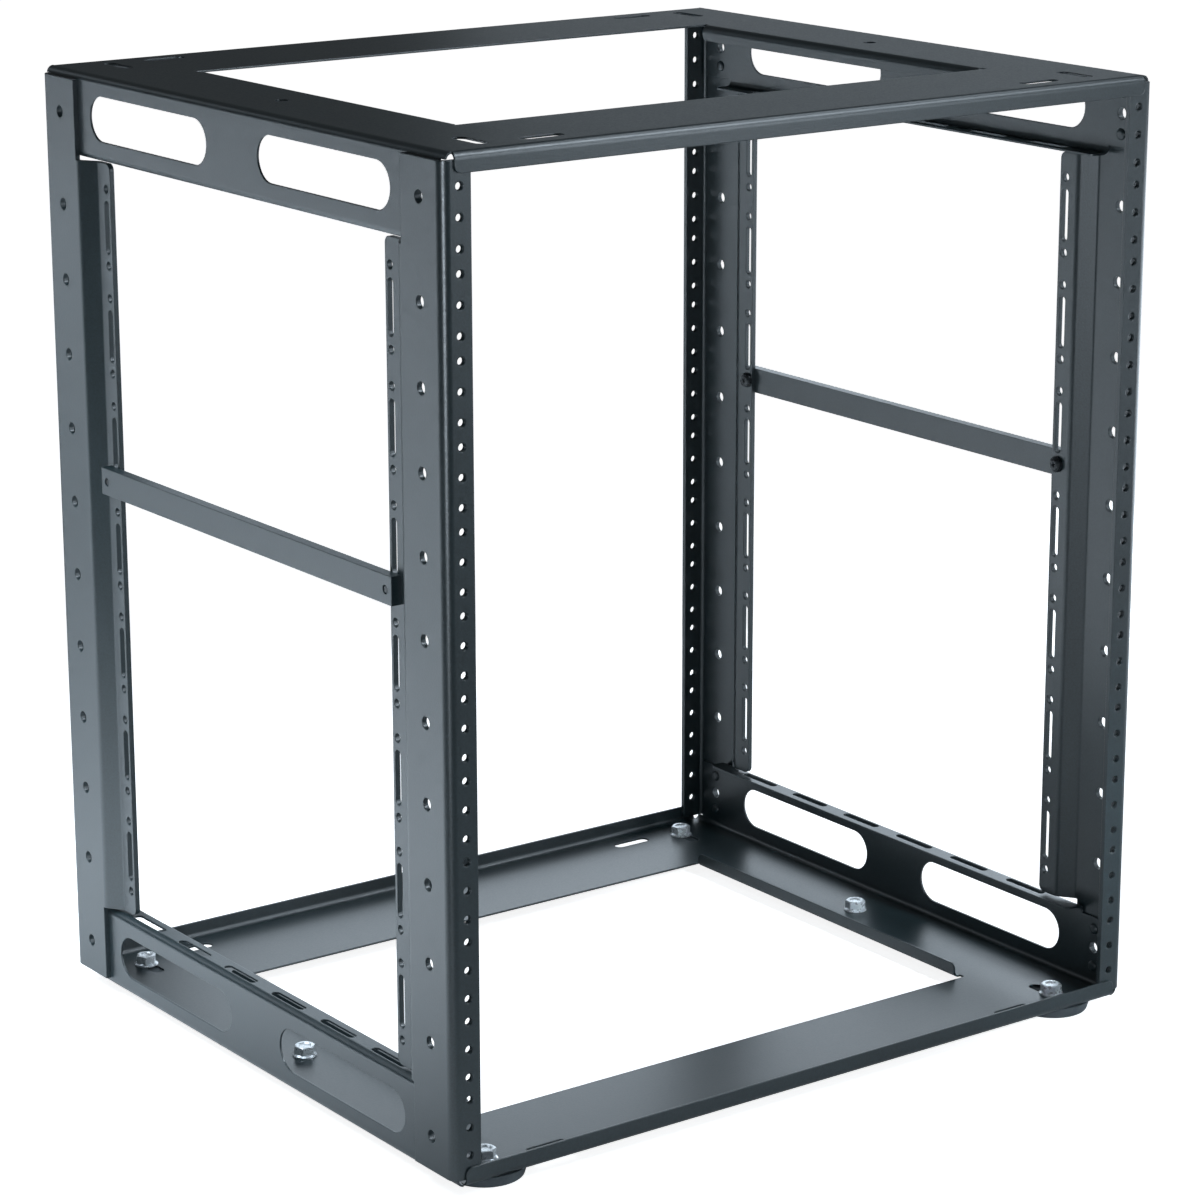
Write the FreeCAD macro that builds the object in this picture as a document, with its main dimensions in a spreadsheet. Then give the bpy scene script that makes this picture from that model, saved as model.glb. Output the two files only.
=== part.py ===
"""Open-frame equipment rack: four folded rails between two folded pans, with side bars and rubber feet.

Millimetres. +Z up, front towards -Y, origin on the floor under the middle of the frame.
"""
import FreeCAD, Part
import os
import Sketcher

Vector = FreeCAD.Vector
Rotation = FreeCAD.Rotation
X_AXIS = Vector(1, 0, 0)
Y_AXIS = Vector(0, 1, 0)
Z_AXIS = Vector(0, 0, 1)

doc = FreeCAD.newDocument("open_frame_rack")

# Driving dimensions: rack pattern, sheet metal, rails, pans, side bars, fasteners and feet
DIMENSIONS = [
    ("rack_units", 12),
    ("unit_height", 44.45),
    ("unit_hole_step", 15.875),
    ("unit_hole_inset", 6.35),
    ("rail_hole_spacing", 465.1),
    ("rail_hole_dia", 4.8),
    ("hole_to_web", 10.85),
    ("hole_to_edge", 7.05),
    ("frame_depth", 414.3),
    ("rail_sheet", 3.04),
    ("rail_bend", 2.4),
    ("web_depth", 39.15),
    ("web_end_inset", 1.9),
    ("joggle_run", 10.4),
    ("joggle_offset", 7.3),
    ("slotted_flange", 13.95),
    ("web_hole_column", 20.65),
    ("web_hole_dia", 7.1),
    ("slot_edge_inset", 4.55),
    ("slot_group_spacing", 63.5),
    ("slot_end_margin", 8.0),
    ("slot_length", 31.0),
    ("slot_width", 5.2),
    ("slot_hole_spacing", 44.45),
    ("rail_corner", 4.0),
    ("rail_lip_gap", 1.4),
    ("pan_sheet", 1.2),
    ("pan_bend", 3.0),
    ("pan_height", 49.0),
    ("pan_lip", 13.86),
    ("pan_lip_setback", 30.95),
    ("pan_corner", 4.0),
    ("panel_clearance", 0.5),
    ("bend_relief", 1.0),
    ("front_lip", 11.0),
    ("front_lip_setback", 0.4),
    ("front_lip_clearance", 0.2),
    ("fixing_level", 24.2),
    ("grip_height", 25.9),
    ("grip_gap", 53.2),
    ("grip_end_inset", 51.15),
    ("lip_slot_spacing", 52.4),
    ("lip_slot_length", 33.0),
    ("lip_slot_inset", 6.95),
    ("lip_slot_end_margin", 10.0),
    ("side_strip", 61.36),
    ("end_strip", 75.25),
    ("opening_flange", 9.3),
    ("opening_notch", 3.9),
    ("pan_slot_length", 27.0),
    ("cross_slot_to_panel", 69.86),
    ("cross_slot_inset", 16.45),
    ("long_slot_to_panel", 32.86),
    ("long_slot_inset", 26.95),
    ("bar_height", 15.9),
    ("bar_thickness", 6.35),
    ("bar_overhang", 6.0),
    ("bar_hole_clearance", 0.1),
    ("screw_dia", 4.8),
    ("screw_clearance", 0.2),
    ("screw_head_dia", 9.6),
    ("screw_head_height", 3.1),
    ("screw_head_round", 1.4),
    ("screw_tip_inset", 0.4),
    ("foot_height", 6.8),
    ("foot_top_dia", 47.0),
    ("foot_bottom_dia", 43.0),
    ("foot_round", 1.6),
    ("foot_floor", 1.5),
    ("foot_inset", 22.95),
    ("bolt_dia", 6.35),
    ("bolt_tip_clearance", 0.4),
    ("bolt_hole_clearance", 0.1),
    ("bolt_slot_clearance", 0.775),
    ("bolt_hex", 11.1),
    ("bolt_head_height", 6.4),
    ("bolt_flange_dia", 14.5),
    ("bolt_flange_height", 1.3),
    ("bolt_dish_dia", 7.6),
    ("bolt_dish_depth", 0.7),
    ("nut_height", 5.4),
]

sheet = doc.addObject("Spreadsheet::Sheet", "size")
for row, (alias, value) in enumerate(DIMENSIONS, 1):
    sheet.set(f"A{row}", alias.replace("_", " "))
    sheet.set(f"B{row}", str(value))
    sheet.setAlias(f"B{row}", alias)
doc.recompute()

# Sizes that follow from the driving dimensions, as expressions
STACK = "(size.rack_units * size.unit_height)"
FRAME_WIDTH = "(size.rail_hole_spacing + 2 * size.hole_to_web)"
FRAME_HEIGHT = f"({STACK} + 2 * (size.front_lip + size.front_lip_clearance))"
MIDDLE = f"(size.foot_height + {FRAME_HEIGHT} / 2)"
RAIL_DEPTH = "(size.web_depth + size.joggle_run + size.slotted_flange)"
SLOTTED_HALF = f"({FRAME_HEIGHT} / 2 - size.pan_height - size.rail_lip_gap)"
SLOT_COLUMN = f"({RAIL_DEPTH} - size.slot_edge_inset)"
SLOT_HOLE_DIA = "(size.screw_dia + 2 * size.screw_clearance)"
SLOT_ROOM = f"(2 * ({SLOTTED_HALF} - size.slot_end_margin) - size.slot_hole_spacing - {SLOT_HOLE_DIA})"
SLOT_GROUPS = f"(floor({SLOT_ROOM} / size.slot_group_spacing) + 1)"
PAN_FOLD = "(size.pan_sheet + size.pan_bend)"
PANEL_FACE = f"({FRAME_WIDTH} / 2 - size.rail_sheet)"
PANEL_TOP = f"(size.pan_height - {PAN_FOLD} - size.bend_relief)"
FIXING_FROM_MIDDLE = f"({FRAME_HEIGHT} / 2 - size.fixing_level)"
BAR_LEVEL = f"({MIDDLE} + ({SLOT_GROUPS} - 5) / 2 * size.slot_group_spacing - size.slot_hole_spacing / 2)"
BAR_SEAT = f"({FRAME_WIDTH} / 2 - size.joggle_offset)"
SCREW_Y = f"(size.frame_depth / 2 - {SLOT_COLUMN})"
PAN_SLOT_WIDTH = "(size.bolt_dia + 2 * size.bolt_slot_clearance)"
LONG_SLOT_X = f"({PANEL_FACE} - size.long_slot_to_panel)"
FOOT_Y = "(size.frame_depth / 2 - size.foot_inset)"
BOLT_REACH = "(size.foot_height - size.foot_floor - size.bolt_tip_clearance)"

# Two lengths closer than this are the same
SAME = 1e-4


def measure(text):
    """Present value of an expression."""
    return float(sheet.evalExpression(text))


def new_body(label):
    body = doc.addObject("PartDesign::Body", label)
    body.Label = label
    return body


def place(body, x, y, z, rotation=Rotation()):
    """Set where a body stands, from expressions, and how it is turned."""
    body.Placement = FreeCAD.Placement(Vector(measure(x), measure(y), measure(z)), rotation)
    for axis, text in (("x", x), ("y", y), ("z", z)):
        body.setExpression(f"Placement.Base.{axis}", text)


def new_sketch(body, name, plane, level="0"):
    """Sketch on one of the body's own origin planes, lifted off it by a level."""
    sketch = body.newObject("Sketcher::SketchObject", f"{body.Name}_{name}")
    origin_plane = next(part for part in body.Origin.OriginFeatures if part.Role == plane)
    sketch.AttachmentSupport = [(origin_plane, "")]
    sketch.MapMode = "FlatFace"
    sketch.setExpression("AttachmentOffset.Base.z", level)
    return sketch


def bind(sketch, kind, references, text):
    """Add one dimension to a sketch and tie it to an expression."""
    number = sketch.addConstraint(Sketcher.Constraint(kind, *references, measure(text)))
    sketch.setExpression(f"Constraints[{number}]", text)


def locate(sketch, geometry, point, across, up):
    """Tie a point of the sketch to its distances from the sketch's origin."""
    bind(sketch, "DistanceX", (-1, 1, geometry, point), across)
    bind(sketch, "DistanceY", (-1, 1, geometry, point), up)


def draw_polygon(sketch, corners):
    """Closed outline through corners given as pairs of expressions."""
    points = [Vector(measure(across), measure(up), 0) for across, up in corners]
    lines = []
    for index, point in enumerate(points):
        lines.append(sketch.addGeometry(Part.LineSegment(point, points[(index + 1) % len(points)])))
    for index, line in enumerate(lines):
        sketch.addConstraint(Sketcher.Constraint("Coincident", line, 2, lines[(index + 1) % len(lines)], 1))
    for line, (across, up) in zip(lines, corners):
        locate(sketch, line, 1, across, up)


def draw_rectangle(sketch, left, right, low, high):
    draw_polygon(sketch, [(left, low), (right, low), (right, high), (left, high)])


def draw_circle(sketch, across, up, diameter):
    middle = Vector(measure(across), measure(up), 0)
    circle = sketch.addGeometry(Part.Circle(middle, Z_AXIS, measure(diameter) / 2))
    locate(sketch, circle, 3, across, up)
    bind(sketch, "Diameter", (circle,), diameter)


def draw_slot(sketch, across, up, length, width, upright=False):
    """Round-ended slot about a centre, long way across the sketch, or up it."""
    reach = f"(({length}) - ({width})) / 2"
    radius = measure(width) / 2
    quarter = 1.5707963267948966
    turn = quarter if upright else 0
    arcs = []
    for sign, start in (("+", turn - quarter), ("-", turn + quarter)):
        centre = (across, f"{up} {sign} {reach}") if upright else (f"{across} {sign} {reach}", up)
        circle = Part.Circle(Vector(measure(centre[0]), measure(centre[1]), 0), Z_AXIS, radius)
        arcs.append(sketch.addGeometry(Part.ArcOfCircle(circle, start, start + 2 * quarter)))
        locate(sketch, arcs[-1], 3, *centre)
    bind(sketch, "Radius", (arcs[0],), f"({width}) / 2")
    sketch.addConstraint(Sketcher.Constraint("Equal", arcs[0], arcs[1]))
    for first, second in (arcs, arcs[::-1]):
        begin = sketch.getPoint(first, 2)
        end = sketch.getPoint(second, 1)
        side = sketch.addGeometry(Part.LineSegment(begin, end))
        sketch.addConstraint(Sketcher.Constraint("Tangent", first, 2, side, 1))
        sketch.addConstraint(Sketcher.Constraint("Tangent", side, 2, second, 1))


def extrude(body, kind, sketch, length, side="Symmetric"):
    """Pad or Pocket of a sketch, half its length to each side unless a side is given."""
    feature = body.newObject(f"PartDesign::{kind}", f"{sketch.Name}_{kind.lower()}")
    feature.Profile = sketch
    feature.SideType = side
    feature.setExpression("Length", length)
    doc.recompute()
    return feature


def repeat(body, feature, role, spacing, count):
    """Row of copies of a cut along one of the body's axes."""
    row = body.newObject("PartDesign::LinearPattern", f"{feature.Name}_row")
    row.Originals = [feature]
    row.Direction = (next(part for part in body.Origin.OriginFeatures if part.Role == role), [""])
    row.Mode = "Spacing"
    row.setExpression("Offset", spacing)
    row.setExpression("Occurrences", count)
    body.Tip = row
    doc.recompute()
    return row


def round_edges(body, name, direction, places, radius):
    """Fillet the straight edges that run along a direction through the given places."""
    base = body.Tip
    names = []
    for number, edge in enumerate(base.Shape.Edges, 1):
        if edge.Curve.TypeId != "Part::GeomLine" or edge.Curve.Direction.cross(direction).Length > SAME:
            continue
        for spot in places:
            offset = edge.CenterOfMass - Vector(*[measure(text) for text in spot])
            if offset.cross(direction).Length < SAME:
                names.append(f"Edge{number}")
    fillet = body.newObject("PartDesign::Fillet", f"{body.Name}_{name}")
    fillet.Base = (base, names)
    fillet.setExpression("Radius", radius)
    doc.recompute()
    return fillet


def make_rail(label, x, y, rotation):
    """Upright folded from one strip: hole flange, web, joggle and slotted flange.

    Modelled for the front left corner, from the outer faces of web and flange, about mid-height.
    Every other corner takes the same rail, turned half round.
    """
    body = new_body(label)
    half_length = f"({FRAME_HEIGHT} / 2 - {PAN_FOLD})"
    flange_width = "(size.hole_to_web + size.hole_to_edge)"
    slant = "sqrt(size.joggle_run ^ 2 + size.joggle_offset ^ 2)"
    skew = f"(size.rail_sheet / 2 * ({slant} - size.joggle_run) / size.joggle_offset)"
    joggle_end = "(size.web_depth + size.joggle_run)"
    inner_offset = "(size.joggle_offset + size.rail_sheet)"
    section = new_sketch(body, "section", "XY_Plane")
    draw_polygon(section, [
        (flange_width, "0"),
        ("0", "0"),
        ("0", f"size.web_depth + {skew}"),
        ("size.joggle_offset", f"{joggle_end} + {skew}"),
        ("size.joggle_offset", RAIL_DEPTH),
        (inner_offset, RAIL_DEPTH),
        (inner_offset, f"{joggle_end} - {skew}"),
        ("size.rail_sheet", f"size.web_depth - {skew}"),
        ("size.rail_sheet", "size.rail_sheet"),
        (flange_width, "size.rail_sheet"),
    ])
    extrude(body, "Pad", section, f"2 * {half_length}")
    outside_bends = [
        ("0", "0", "0"),
        ("0", f"size.web_depth + {skew}", "0"),
        (inner_offset, f"{joggle_end} - {skew}", "0"),
    ]
    inside_bends = [
        ("size.rail_sheet", "size.rail_sheet", "0"),
        ("size.rail_sheet", f"size.web_depth - {skew}", "0"),
        ("size.joggle_offset", f"{joggle_end} + {skew}", "0"),
    ]
    round_edges(body, "outside_bends", Z_AXIS, outside_bends, "size.rail_bend + size.rail_sheet")
    round_edges(body, "inside_bends", Z_AXIS, inside_bends, "size.rail_bend")

    # Joggle and slotted flange stop short of the pans, where the web alone runs on
    cut_from = "size.web_depth - size.web_end_inset"
    ends = new_sketch(body, "ends", "YZ_Plane")
    draw_rectangle(ends, cut_from, f"2 * {RAIL_DEPTH}", SLOTTED_HALF, f"2 * {half_length}")
    draw_rectangle(ends, cut_from, f"2 * {RAIL_DEPTH}", f"-2 * {half_length}", f"-{SLOTTED_HALF}")
    extrude(body, "Pocket", ends, f"4 * {inner_offset}")
    free_corners = [("0", RAIL_DEPTH, f"{sign}{SLOTTED_HALF}") for sign in ("", "-")]
    round_edges(body, "free_corners", X_AXIS, free_corners, "size.rail_corner")

    # Equipment holes, three to a unit
    unit = new_sketch(body, "unit_holes", "XZ_Plane")
    for step in range(3):
        level = f"-{STACK} / 2 + size.unit_hole_inset + {step} * size.unit_hole_step"
        draw_circle(unit, "size.hole_to_web", level, "size.rail_hole_dia")
    unit_cut = extrude(body, "Pocket", unit, "4 * size.rail_sheet")
    repeat(body, unit_cut, "Z_Axis", "size.unit_height", "size.rack_units")

    # Web holes, one at the middle of each unit but the end ones, and one to each pan
    web = new_sketch(body, "web_holes", "YZ_Plane")
    draw_circle(web, "size.web_hole_column", f"-{STACK} / 2 + 1.5 * size.unit_height", "size.web_hole_dia")
    web_cut = extrude(body, "Pocket", web, "4 * size.rail_sheet")
    repeat(body, web_cut, "Z_Axis", "size.unit_height", "size.rack_units - 2")
    fixing = new_sketch(body, "fixing_holes", "YZ_Plane")
    draw_circle(fixing, "size.web_hole_column", FIXING_FROM_MIDDLE, "size.web_hole_dia")
    draw_circle(fixing, "size.web_hole_column", f"-{FIXING_FROM_MIDDLE}", "size.web_hole_dia")
    extrude(body, "Pocket", fixing, "4 * size.rail_sheet")

    # Tie slots, each between two round holes
    group = new_sketch(body, "slot_group", "YZ_Plane")
    lowest = f"-({SLOT_GROUPS} - 1) / 2 * size.slot_group_spacing"
    draw_slot(group, SLOT_COLUMN, lowest, "size.slot_length", "size.slot_width", upright=True)
    for sign in "+-":
        level = f"{lowest} {sign} size.slot_hole_spacing / 2"
        draw_circle(group, SLOT_COLUMN, level, SLOT_HOLE_DIA)
    group_cut = extrude(body, "Pocket", group, f"4 * {inner_offset}")
    repeat(body, group_cut, "Z_Axis", "size.slot_group_spacing", SLOT_GROUPS)
    place(body, x, y, MIDDLE, rotation)
    return body


def make_pan(label, z, rotation):
    """Folded tray that closes one end of the frame, modelled from its outer face upwards."""
    body = new_body(label)
    lip_face = "(size.frame_depth / 2 + size.pan_sheet)"
    panel_end = "(size.frame_depth / 2 - size.rail_sheet - size.rail_bend - size.panel_clearance)"
    fold_end = "(size.frame_depth / 2 - size.pan_sheet)"

    # Flat sheet with a side panel turned up along each side
    sides = new_sketch(body, "sides", "XZ_Plane")
    draw_polygon(sides, [
        (f"-{PANEL_FACE}", PANEL_TOP),
        (f"-{PANEL_FACE}", "0"),
        (PANEL_FACE, "0"),
        (PANEL_FACE, PANEL_TOP),
        (f"{PANEL_FACE} - size.pan_sheet", PANEL_TOP),
        (f"{PANEL_FACE} - size.pan_sheet", "size.pan_sheet"),
        (f"-{PANEL_FACE} + size.pan_sheet", "size.pan_sheet"),
        (f"-{PANEL_FACE} + size.pan_sheet", PANEL_TOP),
    ])
    extrude(body, "Pad", sides, f"2 * {fold_end}")
    outer = [(f"{sign}{PANEL_FACE}", "0", "0") for sign in ("", "-")]
    inner = [(f"{sign}({PANEL_FACE} - size.pan_sheet)", "0", "size.pan_sheet") for sign in ("", "-")]
    round_edges(body, "panel_outside", Y_AXIS, outer, PAN_FOLD)
    round_edges(body, "panel_inside", Y_AXIS, inner, "size.pan_bend")

    # The panels end short of the rails' bends, and past them only the fold runs on, over the rails' ends
    ends = new_sketch(body, "panel_ends", "YZ_Plane")
    rail_end = f"({PAN_FOLD} - size.panel_clearance)"
    draw_rectangle(ends, panel_end, f"2 * {fold_end}", rail_end, "2 * size.pan_height")
    draw_rectangle(ends, f"-2 * {fold_end}", f"-{panel_end}", rail_end, "2 * size.pan_height")
    extrude(body, "Pocket", ends, f"2 * {FRAME_WIDTH}")

    # Low lips at front and rear, outside the rail flanges, with a relief slit at each end of their fold
    fold_side = f"({PANEL_FACE} - {PAN_FOLD})"
    slit_end = f"({lip_face} - {PAN_FOLD} - size.bend_relief)"
    slits = new_sketch(body, "lip_slits", "XY_Plane")
    draw_rectangle(slits, f"-{fold_side}", fold_side, slit_end, f"2 * {lip_face}")
    draw_rectangle(slits, f"-{fold_side}", fold_side, f"-2 * {lip_face}", f"-{slit_end}")
    extrude(body, "Pocket", slits, "4 * size.pan_sheet")
    lips = new_sketch(body, "end_lips", "YZ_Plane")
    draw_polygon(lips, [
        (f"-{lip_face}", "size.front_lip"),
        (f"-{lip_face}", "0"),
        (lip_face, "0"),
        (lip_face, "size.front_lip"),
        ("size.frame_depth / 2", "size.front_lip"),
        ("size.frame_depth / 2", "size.pan_sheet"),
        ("-size.frame_depth / 2", "size.pan_sheet"),
        ("-size.frame_depth / 2", "size.front_lip"),
    ])
    lip_half = f"({fold_side} - size.front_lip_setback)"
    extrude(body, "Pad", lips, f"2 * {lip_half}")
    outer = [("0", f"{sign}{lip_face}", "0") for sign in ("", "-")]
    inner = [("0", f"{sign}size.frame_depth / 2", "size.pan_sheet") for sign in ("", "-")]
    round_edges(body, "end_lip_outside", X_AXIS, outer, PAN_FOLD)
    round_edges(body, "end_lip_inside", X_AXIS, inner, "size.pan_bend")
    corners = [(f"{sign}{lip_half}", "0", "size.front_lip") for sign in ("", "-")]
    round_edges(body, "end_lip_corners", Y_AXIS, corners, "size.pan_corner")

    # Opening, with a stiffening flange turned up along each side
    opening_x = f"({PANEL_FACE} - size.side_strip)"
    opening_y = "(size.frame_depth / 2 - size.end_strip)"
    side_cut = f"({opening_x} + {PAN_FOLD} + size.bend_relief)"
    opening = new_sketch(body, "opening", "XY_Plane")
    draw_rectangle(opening, f"-{side_cut}", side_cut, f"-{opening_y}", opening_y)
    extrude(body, "Pocket", opening, "4 * size.pan_sheet")
    stiffeners = new_sketch(body, "stiffeners", "XZ_Plane")
    for sign in ("", "-"):
        face = f"{sign}{opening_x}"
        back = f"{sign}({opening_x} + size.pan_sheet)"
        draw_polygon(stiffeners, [
            (face, "size.opening_flange"),
            (face, "0"),
            (f"{sign}{side_cut}", "0"),
            (f"{sign}{side_cut}", "size.pan_sheet"),
            (back, "size.pan_sheet"),
            (back, "size.opening_flange"),
        ])
    stiffener_half = f"({opening_y} - size.opening_notch)"
    extrude(body, "Pad", stiffeners, f"2 * {stiffener_half}")
    outer = [(f"{sign}{opening_x}", "0", "0") for sign in ("", "-")]
    inner = [(f"{sign}({opening_x} + size.pan_sheet)", "0", "size.pan_sheet") for sign in ("", "-")]
    round_edges(body, "stiffener_outside", Y_AXIS, outer, PAN_FOLD)
    round_edges(body, "stiffener_inside", Y_AXIS, inner, "size.pan_bend")
    corners = [("0", f"{sign}{stiffener_half}", "size.opening_flange") for sign in ("", "-")]
    round_edges(body, "stiffener_corners", X_AXIS, corners, "size.pan_corner")

    # Inward lips along the tops of the side panels, short of the rails
    side_lips = new_sketch(body, "side_lips", "XZ_Plane")
    for sign in ("", "-"):
        inside = f"{sign}({PANEL_FACE} - size.pan_sheet)"
        edge = f"{sign}({PANEL_FACE} - size.pan_lip)"
        draw_polygon(side_lips, [
            (f"{sign}{PANEL_FACE}", PANEL_TOP),
            (f"{sign}{PANEL_FACE}", "size.pan_height"),
            (edge, "size.pan_height"),
            (edge, "size.pan_height - size.pan_sheet"),
            (inside, "size.pan_height - size.pan_sheet"),
            (inside, PANEL_TOP),
        ])
    side_lip_half = "(size.frame_depth / 2 - size.pan_lip_setback)"
    extrude(body, "Pad", side_lips, f"2 * {side_lip_half}")
    outer = [(f"{sign}{PANEL_FACE}", "0", "size.pan_height") for sign in ("", "-")]
    inner = [
        (f"{sign}({PANEL_FACE} - size.pan_sheet)", "0", "size.pan_height - size.pan_sheet")
        for sign in ("", "-")
    ]
    round_edges(body, "side_lip_outside", Y_AXIS, outer, PAN_FOLD)
    round_edges(body, "side_lip_inside", Y_AXIS, inner, "size.pan_bend")
    corners = [
        (f"{sign}({PANEL_FACE} - size.pan_lip)", f"{end}{side_lip_half}", "0")
        for sign in ("", "-") for end in ("", "-")
    ]
    round_edges(body, "side_lip_corners", Z_AXIS, corners, "size.pan_corner")

    # Tie slots in the inward lips
    room = f"(2 * ({side_lip_half} - size.lip_slot_end_margin) - size.lip_slot_length)"
    count = f"(floor({room} / size.lip_slot_spacing) + 1)"
    first = f"-({count} - 1) / 2 * size.lip_slot_spacing"
    ties = new_sketch(body, "tie_slots", "XY_Plane", "size.pan_height")
    for sign in ("", "-"):
        across = f"{sign}({PANEL_FACE} - size.lip_slot_inset)"
        draw_slot(ties, across, first, "size.lip_slot_length", "size.slot_width", upright=True)
    tie_cut = extrude(body, "Pocket", ties, "4 * size.pan_sheet")
    repeat(body, tie_cut, "Y_Axis", "size.lip_slot_spacing", count)

    # Oblong cut-outs in the side panels, and the holes that line up with the rails
    grip_length = "((size.frame_depth - size.grip_gap) / 2 - size.grip_end_inset)"
    grips = new_sketch(body, "cut_outs", "YZ_Plane")
    for sign in ("", "-"):
        across = f"{sign}(size.grip_gap + {grip_length}) / 2"
        draw_slot(grips, across, "size.fixing_level", grip_length, "size.grip_height")
        across = f"{sign}(size.frame_depth / 2 - size.web_hole_column)"
        draw_circle(grips, across, "size.fixing_level", "size.web_hole_dia")
    extrude(body, "Pocket", grips, f"2 * {FRAME_WIDTH}")

    # Slots and holes in the flat sheet for feet, casters and ganging bolts
    strip = new_sketch(body, "sheet_slots", "XY_Plane")
    for sign in ("", "-"):
        long_x = f"{sign}{LONG_SLOT_X}"
        cross_x = f"{sign}({PANEL_FACE} - size.cross_slot_to_panel)"
        draw_circle(strip, long_x, "0", PAN_SLOT_WIDTH)
        for end in ("", "-"):
            cross_y = f"{end}(size.frame_depth / 2 - size.cross_slot_inset)"
            draw_slot(strip, cross_x, cross_y, "size.pan_slot_length", PAN_SLOT_WIDTH)
            long_y = f"{end}(size.frame_depth / 2 - size.long_slot_inset)"
            draw_slot(strip, long_x, long_y, "size.pan_slot_length", PAN_SLOT_WIDTH, upright=True)
    extrude(body, "Pocket", strip, "4 * size.pan_sheet")
    place(body, "0", "0", z, rotation)
    return body


def make_side_bar(label, x, rotation):
    """Flat bar screwed across the outside of two slotted flanges, modelled from its seat outwards."""
    body = new_body(label)
    outline = new_sketch(body, "outline", "YZ_Plane")
    half_length = f"({SCREW_Y} + size.bar_overhang)"
    draw_rectangle(outline, f"-{half_length}", half_length, "-size.bar_height / 2", "size.bar_height / 2")
    for sign in ("", "-"):
        draw_circle(outline, f"{sign}{SCREW_Y}", "0", "size.screw_dia + 2 * size.bar_hole_clearance")
    extrude(body, "Pad", outline, "size.bar_thickness", "One side")
    place(body, x, "0", BAR_LEVEL, rotation)
    return body


def revolve(body, sketch):
    """Full turn of a sketch about its own upright axis."""
    turned = body.newObject("PartDesign::Revolution", f"{sketch.Name}_turned")
    turned.Profile = sketch
    turned.ReferenceAxis = (sketch, ["V_Axis"])
    turned.Angle = 360
    doc.recompute()
    return turned


def make_bar_screw(label, x, y, rotation):
    """Pan-head screw, modelled upright with the underside of its head at zero."""
    body = new_body(label)
    reach = "(size.rail_sheet + size.bar_thickness - size.screw_tip_inset)"
    half = new_sketch(body, "half_section", "XZ_Plane")
    draw_polygon(half, [
        ("0", f"-{reach}"),
        ("size.screw_dia / 2", f"-{reach}"),
        ("size.screw_dia / 2", "0"),
        ("size.screw_head_dia / 2", "0"),
        ("size.screw_head_dia / 2", "size.screw_head_height"),
        ("0", "size.screw_head_height"),
    ])
    revolve(body, half)
    round_rim(body, "head", "size.screw_head_dia", "size.screw_head_height", "size.screw_head_round")
    place(body, x, y, BAR_LEVEL, rotation)
    return body


def round_rim(body, name, diameter, level, radius):
    """Fillet the circular edge of a turned body with a given diameter and level."""
    base = body.Tip
    names = []
    for number, edge in enumerate(base.Shape.Edges, 1):
        if edge.Curve.TypeId != "Part::GeomCircle":
            continue
        same_size = abs(2 * edge.Curve.Radius - measure(diameter)) < SAME
        if same_size and abs(edge.Curve.Center.z - measure(level)) < SAME:
            names.append(f"Edge{number}")
    fillet = body.newObject("PartDesign::Fillet", f"{body.Name}_{name}_rim")
    fillet.Base = (base, names)
    fillet.setExpression("Radius", radius)
    doc.recompute()
    return fillet


def make_foot(label, x, y):
    """Round rubber foot with a blind bore for its bolt."""
    body = new_body(label)
    bore = "(size.bolt_dia / 2 + size.bolt_hole_clearance)"
    half = new_sketch(body, "half_section", "XZ_Plane")
    draw_polygon(half, [
        ("0", "0"),
        ("size.foot_bottom_dia / 2", "0"),
        ("size.foot_top_dia / 2", "size.foot_height"),
        (bore, "size.foot_height"),
        (bore, "size.foot_floor"),
        ("0", "size.foot_floor"),
    ])
    revolve(body, half)
    round_rim(body, "tread", "size.foot_bottom_dia", "0", "size.foot_round")
    place(body, x, y, "0")
    return body


def draw_hexagon(sketch, across_flats):
    flat = f"{across_flats} / 2"
    side = f"{across_flats} / 2 / sqrt(3)"
    draw_polygon(sketch, [
        (flat, f"-{side}"),
        (flat, side),
        ("0", f"2 * {side}"),
        (f"-{flat}", side),
        (f"-{flat}", f"-{side}"),
        ("0", f"-2 * {side}"),
    ])


def make_bolt(label, x, y):
    """Hex bolt with a round flange under its head, which stands on the bottom pan's sheet."""
    body = new_body(label)
    shank = new_sketch(body, "shank", "XY_Plane", f"-size.pan_sheet - {BOLT_REACH}")
    draw_circle(shank, "0", "0", "size.bolt_dia")
    extrude(body, "Pad", shank, f"size.pan_sheet + {BOLT_REACH}", "One side")
    flange = new_sketch(body, "flange", "XY_Plane")
    draw_circle(flange, "0", "0", "size.bolt_flange_dia")
    extrude(body, "Pad", flange, "size.bolt_flange_height", "One side")
    head = new_sketch(body, "head", "XY_Plane")
    draw_hexagon(head, "size.bolt_hex")
    extrude(body, "Pad", head, "size.bolt_head_height", "One side")
    dish = new_sketch(body, "dish", "XY_Plane", "size.bolt_head_height")
    draw_circle(dish, "0", "0", "size.bolt_dish_dia")
    extrude(body, "Pocket", dish, "2 * size.bolt_dish_depth")
    place(body, x, y, "size.foot_height + size.pan_sheet")
    return body


def make_nut(label, x):
    """Hex nut drawn up against the underside of the bottom pan."""
    body = new_body(label)
    outline = new_sketch(body, "outline", "XY_Plane", "-size.nut_height")
    draw_hexagon(outline, "size.bolt_hex")
    draw_circle(outline, "0", "0", "size.bolt_dia + 2 * size.bolt_hole_clearance")
    extrude(body, "Pad", outline, "size.nut_height", "One side")
    place(body, x, "0", "size.foot_height")
    return body


LEFT = f"-{FRAME_WIDTH} / 2"
RIGHT = f"{FRAME_WIDTH} / 2"
FRONT = "-size.frame_depth / 2"
REAR = "size.frame_depth / 2"
PAN_TOP_FACE = f"size.foot_height + {FRAME_HEIGHT}"

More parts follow.
